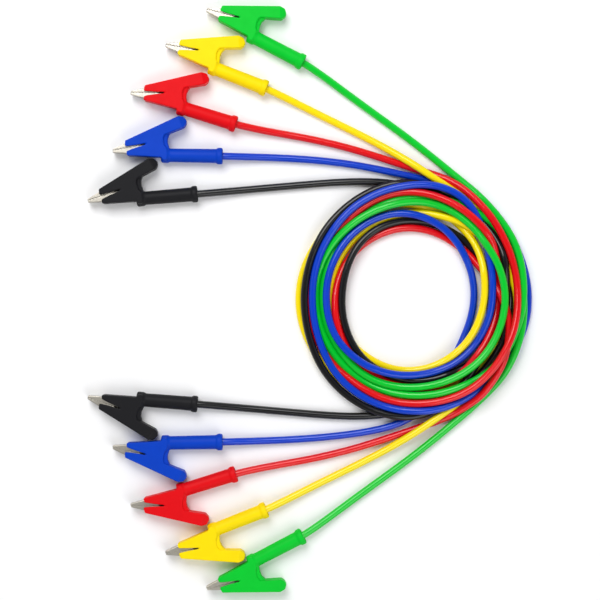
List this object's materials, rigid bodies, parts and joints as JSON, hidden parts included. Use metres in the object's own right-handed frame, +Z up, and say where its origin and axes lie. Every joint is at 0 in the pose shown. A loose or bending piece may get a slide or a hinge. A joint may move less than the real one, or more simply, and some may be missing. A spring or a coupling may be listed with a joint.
{
  "type": "alligator clip test lead set",
  "caption": "Set of flexible test leads in different colours, with a booted alligator clip at each end, laid flat with the wires wound into one loose round coil.",
  "frame": {"origin": "on the bench top, midway between the two fans of clips and at the middle of the box around the clips", "axes": "+X from the clips' tips towards the coil, +Y towards the first clips, +Z up from the bench"},
  "size_m": [0.2427, 0.32, 0.0092],
  "materials": {
    "black_boot": "satin soft PVC",
    "black_wire": "glossy flexible PVC",
    "blue_boot": "satin soft PVC",
    "blue_wire": "glossy flexible PVC",
    "red_boot": "satin soft PVC",
    "red_wire": "glossy flexible PVC",
    "yellow_boot": "satin soft PVC",
    "yellow_wire": "glossy flexible PVC",
    "green_boot": "satin soft PVC",
    "green_wire": "glossy flexible PVC",
    "plated_steel": "bright nickel plate",
    "spring_steel": "plain spring wire",
    "copper": "bare stranded copper",
    "mixed_wire": "glossy flexible PVC, five colours"
  },
  "bodies": {
    "leads": {"black_clip_1_fixed_jaw": "plated_steel", "black_clip_1_spring": "spring_steel", "black_clip_1_boot_body": "black_boot", "black_clip_2_fixed_jaw": "plated_steel", "black_clip_2_spring": "spring_steel", "black_clip_2_boot_body": "black_boot", "blue_clip_1_fixed_jaw": "plated_steel", "blue_clip_1_spring": "spring_steel", "blue_clip_1_boot_body": "blue_boot", "blue_clip_2_fixed_jaw": "plated_steel", "blue_clip_2_spring": "spring_steel", "blue_clip_2_boot_body": "blue_boot", "red_clip_1_fixed_jaw": "plated_steel", "red_clip_1_spring": "spring_steel", "red_clip_1_boot_body": "red_boot", "red_clip_2_fixed_jaw": "plated_steel", "red_clip_2_spring": "spring_steel", "red_clip_2_boot_body": "red_boot", "yellow_clip_1_fixed_jaw": "plated_steel", "yellow_clip_1_spring": "spring_steel", "yellow_clip_1_boot_body": "yellow_boot", "yellow_clip_2_fixed_jaw": "plated_steel", "yellow_clip_2_spring": "spring_steel", "yellow_clip_2_boot_body": "yellow_boot", "green_clip_1_fixed_jaw": "plated_steel", "green_clip_1_spring": "spring_steel", "green_clip_1_boot_body": "green_boot", "green_clip_2_fixed_jaw": "plated_steel", "green_clip_2_spring": "spring_steel", "green_clip_2_boot_body": "green_boot", "black_wire_jacket": "black_wire", "blue_wire_jacket": "blue_wire", "red_wire_jacket": "red_wire", "yellow_wire_jacket": "yellow_wire", "green_wire_jacket": "green_wire", "pivot_rivets": "plated_steel", "conductor_ends": "copper", "coiled_wires": "mixed_wire"},
    "black_lever_1": {"black_clip_1_moving_jaw": "plated_steel", "black_clip_1_boot_lever": "black_boot"},
    "black_lever_2": {"black_clip_2_moving_jaw": "plated_steel", "black_clip_2_boot_lever": "black_boot"},
    "blue_lever_1": {"blue_clip_1_moving_jaw": "plated_steel", "blue_clip_1_boot_lever": "blue_boot"},
    "blue_lever_2": {"blue_clip_2_moving_jaw": "plated_steel", "blue_clip_2_boot_lever": "blue_boot"},
    "red_lever_1": {"red_clip_1_moving_jaw": "plated_steel", "red_clip_1_boot_lever": "red_boot"},
    "red_lever_2": {"red_clip_2_moving_jaw": "plated_steel", "red_clip_2_boot_lever": "red_boot"},
    "yellow_lever_1": {"yellow_clip_1_moving_jaw": "plated_steel", "yellow_clip_1_boot_lever": "yellow_boot"},
    "yellow_lever_2": {"yellow_clip_2_moving_jaw": "plated_steel", "yellow_clip_2_boot_lever": "yellow_boot"},
    "green_lever_1": {"green_clip_1_moving_jaw": "plated_steel", "green_clip_1_boot_lever": "green_boot"},
    "green_lever_2": {"green_clip_2_moving_jaw": "plated_steel", "green_clip_2_boot_lever": "green_boot"}
  },
  "joints": [
    {"name": "black_hinge_1", "type": "hinge", "parent": "leads", "child": "black_lever_1", "pos_m": [-0.03634, 0.0615, 0.0046], "axis": [0, 0, -1], "range_deg": [0, 28], "stiffness_Nm_per_rad": 0.02, "springref_deg": -20.05, "deforming": ["black_clip_1_spring"]},
    {"name": "black_hinge_2", "type": "hinge", "parent": "leads", "child": "black_lever_2", "pos_m": [-0.03634, -0.0615, 0.0046], "axis": [0, 0, 1], "range_deg": [0, 28], "stiffness_Nm_per_rad": 0.02, "springref_deg": -20.05, "deforming": ["black_clip_2_spring"]},
    {"name": "blue_hinge_1", "type": "hinge", "parent": "leads", "child": "blue_lever_1", "pos_m": [-0.02191, 0.08588, 0.0046], "axis": [0, 0, -1], "range_deg": [0, 28], "stiffness_Nm_per_rad": 0.02, "springref_deg": -20.05, "deforming": ["blue_clip_1_spring"]},
    {"name": "blue_hinge_2", "type": "hinge", "parent": "leads", "child": "blue_lever_2", "pos_m": [-0.02191, -0.08588, 0.0046], "axis": [0, 0, 1], "range_deg": [0, 28], "stiffness_Nm_per_rad": 0.02, "springref_deg": -20.05, "deforming": ["blue_clip_2_spring"]},
    {"name": "red_hinge_1", "type": "hinge", "parent": "leads", "child": "red_lever_1", "pos_m": [-0.01159, 0.11253, 0.0046], "axis": [0, 0, -1], "range_deg": [0, 28], "stiffness_Nm_per_rad": 0.02, "springref_deg": -20.05, "deforming": ["red_clip_1_spring"]},
    {"name": "red_hinge_2", "type": "hinge", "parent": "leads", "child": "red_lever_2", "pos_m": [-0.01159, -0.11253, 0.0046], "axis": [0, 0, 1], "range_deg": [0, 28], "stiffness_Nm_per_rad": 0.02, "springref_deg": -20.05, "deforming": ["red_clip_2_spring"]},
    {"name": "yellow_hinge_1", "type": "hinge", "parent": "leads", "child": "yellow_lever_1", "pos_m": [0.00718, 0.13483, 0.0046], "axis": [0, 0, -1], "range_deg": [0, 28], "stiffness_Nm_per_rad": 0.02, "springref_deg": -20.05, "deforming": ["yellow_clip_1_spring"]},
    {"name": "yellow_hinge_2", "type": "hinge", "parent": "leads", "child": "yellow_lever_2", "pos_m": [0.00718, -0.13483, 0.0046], "axis": [0, 0, 1], "range_deg": [0, 28], "stiffness_Nm_per_rad": 0.02, "springref_deg": -20.05, "deforming": ["yellow_clip_2_spring"]},
    {"name": "green_hinge_1", "type": "hinge", "parent": "leads", "child": "green_lever_1", "pos_m": [0.02924, 0.15212, 0.0046], "axis": [0, 0, -1], "range_deg": [0, 28], "stiffness_Nm_per_rad": 0.02, "springref_deg": -20.05, "deforming": ["green_clip_1_spring"]},
    {"name": "green_hinge_2", "type": "hinge", "parent": "leads", "child": "green_lever_2", "pos_m": [0.02924, -0.15212, 0.0046], "axis": [0, 0, 1], "range_deg": [0, 28], "stiffness_Nm_per_rad": 0.02, "springref_deg": -20.05, "deforming": ["green_clip_2_spring"]}
  ]
}
